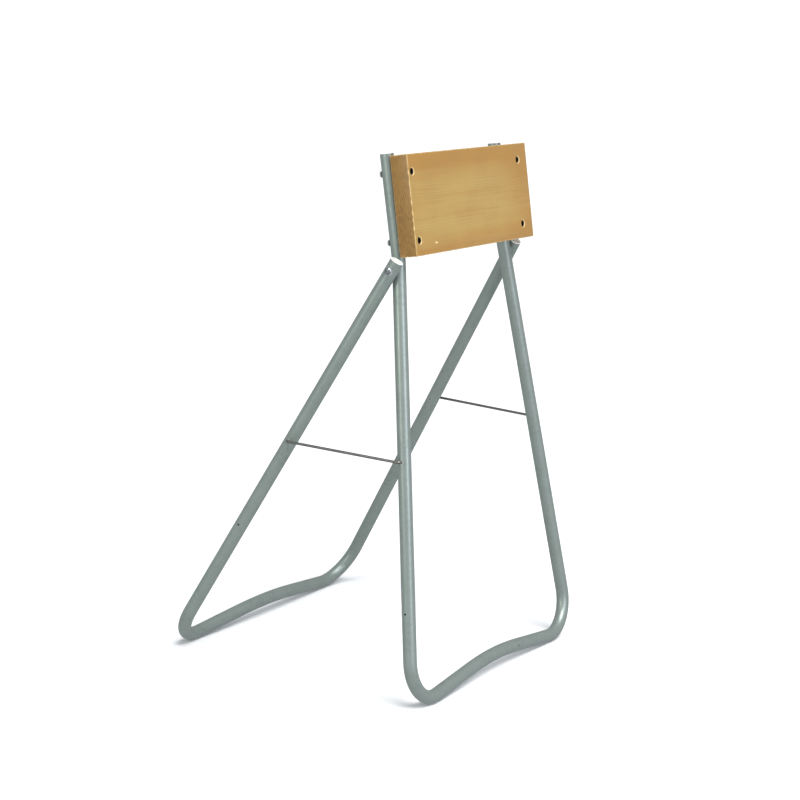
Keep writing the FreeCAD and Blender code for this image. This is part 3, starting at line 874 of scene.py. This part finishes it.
def end_plug(insert, end, direction):
    """A moulded tube plug: a dished cap over the wall, and a ribbed insert in the bore."""
    size, fix = tubes(), fixings()
    play, core_gap, rib, ribs = 0.05 * MM, 1.2 * MM, 0.9 * MM, 3
    lead, ease, dish, crown = 0.5 * MM, 0.2 * MM, 0.35 * MM, 0.1 * MM
    crown_in, dish_out, dish_in, hub = 0.56, 0.5, 0.12, 0.10     # shares of the plug's radius
    outer, rim, edge = size.tube_d / 2, fix.plug_rim, fix.plug_round
    bore = outer - size.wall - play
    core = bore - core_gap
    profile = [(0, -insert), (core - lead, -insert), (core, lead - insert)]
    for i in range(ribs):
        base = -insert + (i + 0.6) * insert / (ribs + 0.4)
        profile += [(core, base), (bore, base + rib / 2), (bore, base + rib), (core, base + rib)]
    profile += [(core, 0), (outer - ease, 0), (outer, ease), *arc(outer - edge, rim - edge, edge, 0, 90, 6),
                (crown_in * outer, rim - crown), (dish_out * outer, rim - dish),
                (dish_in * outer, rim - dish), (hub * outer, rim - 2 * dish), (0, rim - 2 * dish)]
    bm = turned(profile)
    bm.transform(facing(end, direction))
    return as_object("end_plug", bm)


def stay(side):
    """A drawn rod with both ends bent in through the legs' outer faces."""
    size, front, rear = tubes(), front_plane(), rear_plane()
    front_depth = (pivot.z - stay_axis.z) / cos(front.lean)
    rear_depth = (pivot.z - stay_axis.z) / cos(rear.lean)
    rear_tip = rear.leg_face(rear_depth, -1) + size.stay_recess
    rear_bend = rear.leg_face(rear_depth) + size.stay_standoff
    front_bend = front.leg_face(front_depth) + size.stay_standoff
    front_tip = front.leg_face(front_depth) - size.stay_reach
    points = [rear.point(side * rear_tip, rear_depth), rear.point(side * rear_bend, rear_depth),
              front.point(side * front_bend, front_depth), front.point(side * front_tip, front_depth)]
    return as_object("stay_rod", bent_rod(points, [size.stay_bend, size.stay_bend], size.stay_d / 2))


# ---------------------------------------------------------------- operators

def white_plastic():
    """The plugs' and washers' plastic, made once."""
    return bpy.data.materials.get("moulded_polyethylene") or moulded_polyethylene()


def named(piece, name):
    """Names a piece and its mesh."""
    piece.name = name
    piece.data.name = name
    return piece


class STAND_OT_frames(bpy.types.Operator):
    """Bend and drill the two tube frames"""
    bl_idname = "stand.frames"
    bl_label = "Tube frames"

    def execute(self, context):
        front_frame()
        rear_frame()
        return {"FINISHED"}


class STAND_OT_board(bpy.types.Operator):
    """Saw, round and counterbore the beech board"""
    bl_idname = "stand.board"
    bl_label = "Motor board"

    def execute(self, context):
        motor_board()
        return {"FINISHED"}


class STAND_OT_board_fixings(bpy.types.Operator):
    """Make the board's screws, washers and nuts"""
    bl_idname = "stand.board_fixings"
    bl_label = "Board fixings"

    def execute(self, context):
        fix, tint = fixings(), colours()
        oxide = plated_steel("black_oxide_steel", tint.oxide, 0.38)
        plate = plated_steel("zinc_plated_fixings", tint.plate, 0.30)
        for name in SIDES:
            for level in LEVELS:
                line, key = screw_line(level, name), f"{level}_{name}"
                screw = named(cap_screw(line), f"cap_screw_{key}")
                finish_piece(screw, f"board_screw_{key}", "front_body", oxide, sharp=20)
                washer = ring_washer(fix.washer_d, fix.screw_hole, fix.washer_t,
                                     middle(f"board_washer_{key}"), -board_out)
                finish_piece(named(washer, f"steel_washer_{key}"), f"board_washer_{key}", "front_body",
                             plate)
                seat = middle(f"board_washer_{key}") - board_out * (fix.washer_t / 2)
                nut = named(thin_nut(seat, -board_out), f"thin_nut_{key}")
                finish_piece(nut, f"board_nut_{key}", "front_body", plate, sharp=20)
        return {"FINISHED"}


class STAND_OT_pivots(bpy.types.Operator):
    """Make the pivot bolts and their nylon washers, and plate the rivet nuts"""
    bl_idname = "stand.pivots"
    bl_label = "Pivots"

    def execute(self, context):
        fix = fixings()
        plate = plated_steel("zinc_plated_pivots", colours().plate, 0.26)
        plastic = white_plastic()
        for name, side in SIDES.items():
            bolt = named(button_bolt(name, side), f"button_bolt_{name}")
            finish_piece(bolt, f"pivot_bolt_{name}", "front_body", plate, sharp=20)
            plane = front_plane()
            out = X * (side * cos(plane.splay)) - plane.down * sin(plane.splay)
            washer = ring_washer(fix.pivot_washer_d, fix.pivot_washer_bore, fix.pivot_washer_t,
                                 middle(f"pivot_washer_{name}"), out)
            finish_piece(named(washer, f"nylon_washer_{name}"), f"pivot_washer_{name}", "front_body",
                         plastic)
            for slot in frame["nodes"][f"pivot_nut_{name}"].material_slots:
                slot.material = plate
        return {"FINISHED"}


class STAND_OT_stays(bpy.types.Operator):
    """Bend the two wire stays"""
    bl_idname = "stand.stays"
    bl_label = "Stays"

    def execute(self, context):
        wire = plated_steel("zinc_plated_wire", colours().wire, 0.30, streaks=(1, 0.05, 1))
        for name, side in SIDES.items():
            finish_piece(named(stay(side), f"stay_rod_{name}"), f"stay_{name}", f"stay_{name}_body",
                         wire)
        return {"FINISHED"}


class STAND_OT_plugs(bpy.types.Operator):
    """Mould the four end plugs"""
    bl_idname = "stand.plugs"
    bl_label = "End plugs"

    def execute(self, context):
        size, fix, rear = tubes(), fixings(), rear_plane()
        plastic = white_plastic()
        for name, side in SIDES.items():
            top = post_point(side, size.post_length)
            post = end_plug(fix.post_insert, top, top - post_point(side, 0))
            finish_piece(named(post, f"post_cap_{name}"), f"post_plug_{name}", "front_body",
                         plastic)
            top = rear.point(side * rear.leg_across(-size.rear_stub), -size.rear_stub)
            leg = end_plug(fix.leg_insert, top, top - rear.point(side * rear.leg_across(0), 0))
            finish_piece(named(leg, f"leg_cap_{name}"), f"leg_plug_{name}", "rear_body",
                         plastic)
        return {"FINISHED"}


def studio_floor():
    """A smooth matt painted floor, near white, that rises gently far behind the stand to fill the view. The
    stand's steel mirrors the dimmer room instead of it, which gives the tubes their darker edges."""
    flat, sweep, turn = 8.0, 400.0, 20                # level radius and rising sweep in metres, then degrees
    patch_size, patch_shade = 600 * MM, 0.985
    floor = as_object("studio_floor", turned([(0, 0)] + arc(flat, sweep, sweep, -90, turn - 90, steps=24)))
    floor.data.shade_smooth()
    floor.visible_glossy = False
    made, tree, shader, place = start_material("matt_studio_paint", Roughness=0.85)
    shade = add(tree, "TexNoise", {"Vector": place, "Scale": waves_per_metre(patch_size), "Detail": 2.0})
    lighter = list(colours().floor)
    darker = [patch_shade * level for level in lighter[:3]] + [1.0]
    paint = add(tree, "Mix", {MIX_FACTOR: shade.outputs["Fac"], MIX_A: darker, MIX_B: lighter},
                data_type="RGBA")
    tree.links.new(paint.outputs[MIX_RESULT], shader.inputs["Base Color"])
    floor.data.materials.append(made)


def towards(azimuth, elevation):
    """The direction of a place in the studio; azimuth 0 is in front of the board."""
    turn, rise = radians(azimuth), radians(elevation)
    return Vector((sin(turn) * cos(rise), -cos(turn) * cos(rise), sin(rise)))


def studio_light(name, azimuth, elevation, spread, power):
    """A very large soft light, far enough away to light the floor evenly."""
    back = towards(azimuth, elevation)
    lamp = bpy.data.lights.new(name, "SUN")
    lamp.angle, lamp.energy = radians(spread), power
    made = bpy.data.objects.new(name, lamp)
    made.matrix_world = facing(back, back)
    bpy.context.scene.collection.objects.link(made)


def studio_window(name, azimuth, height, distance, width, tall, power, hue):
    """A softbox in front of the stand, whose reflection runs down the front legs."""
    aim = middle("front_frame")
    spot = aim + towards(azimuth, 0) * distance
    spot.z = height
    lamp = bpy.data.lights.new(name, "AREA")
    lamp.shape, lamp.size, lamp.size_y, lamp.energy = "RECTANGLE", width, tall, power
    lamp.color = linear(hue)[:3]
    made = bpy.data.objects.new(name, lamp)
    made.matrix_world = facing(spot, spot - aim)
    bpy.context.scene.collection.objects.link(made)


def studio_camera(aim, azimuth, elevation, roll, distance, lens):
    """The view from beyond the stand's left front corner."""
    back = towards(azimuth, elevation)
    right = (-back).cross(Z).normalized()
    up = right.cross(-back)
    tilt = radians(roll)
    columns = right * cos(tilt) + up * sin(tilt), up * cos(tilt) - right * sin(tilt), back
    made = bpy.data.objects.new("studio_camera", bpy.data.cameras.new("studio_camera"))
    made.data.lens = lens
    made.data.clip_end = 500
    made.matrix_world = Matrix.Translation(aim + back * distance) @ Matrix(columns).transposed().to_4x4()
    bpy.context.scene.collection.objects.link(made)
    bpy.context.scene.camera = made


class STAND_OT_stage(bpy.types.Operator):
    """Set up the floor, the soft lights and the camera"""
    bl_idname = "stand.stage"
    bl_label = "Stage"

    def execute(self, context):
        scene = context.scene
        studio_floor()
        scene.world = bpy.data.worlds.new("studio")
        scene.world.use_nodes = True
        background = scene.world.node_tree.nodes["Background"]
        room_hue, room_strength = "#DCE0E6", 0.55
        background.inputs["Color"].default_value = linear(room_hue)
        background.inputs["Strength"].default_value = room_strength
        studio_light("key", azimuth=-30, elevation=62, spread=35, power=3.0)
        studio_window("window_right", azimuth=-14, height=1.4, distance=3.0, width=1.1, tall=1.3, power=29,
                      hue="#E9EEFF")
        studio_window("window_left", azimuth=-104, height=1.4, distance=3.0, width=0.9, tall=1.3, power=19,
                      hue="#F4FBF0")
        studio_camera(Vector((0, -0.0208, 0.4866)), azimuth=-60.12, elevation=11.95, roll=3.88,
                      distance=4.156, lens=97.6)
        scene.view_settings.view_transform = "Standard"
        return {"FINISHED"}


class STAND_PT_panel(bpy.types.Panel):
    """Lists the steps that build the stand, and its sizes and colours"""
    bl_idname = "STAND_PT_panel"
    bl_label = "Motor stand"
    bl_space_type = "VIEW_3D"
    bl_region_type = "UI"
    bl_category = "Motor stand"

    def draw(self, context):
        for operator in OPERATORS:
            self.layout.operator(operator.bl_idname)
        for group in (context.scene.stand_tubes, context.scene.stand_fixings, context.scene.stand_colours):
            box = self.layout.box()
            for key in group.bl_rna.properties.keys():
                if key not in ("rna_type", "name"):
                    box.prop(group, key)


OPERATORS = (STAND_OT_frames, STAND_OT_board, STAND_OT_board_fixings, STAND_OT_pivots, STAND_OT_stays,
             STAND_OT_plugs, STAND_OT_stage)
GROUPS = {"stand_tubes": StandTubes, "stand_fixings": StandFixings, "stand_colours": StandColours}


def register():
    for made in (*GROUPS.values(), *OPERATORS, STAND_PT_panel):
        bpy.utils.register_class(made)
    for name, group in GROUPS.items():
        setattr(bpy.types.Scene, name, bpy.props.PointerProperty(type=group))


def unregister():
    for name in GROUPS:
        delattr(bpy.types.Scene, name)
    for made in (STAND_PT_panel, *OPERATORS, *GROUPS.values()):
        bpy.utils.unregister_class(made)


def main():
    register()
    bpy.ops.stand.frames()
    bpy.ops.stand.board()
    bpy.ops.stand.board_fixings()
    bpy.ops.stand.pivots()
    bpy.ops.stand.stays()
    bpy.ops.stand.plugs()
    bpy.ops.stand.stage()


if __name__ == "__main__":
    main()
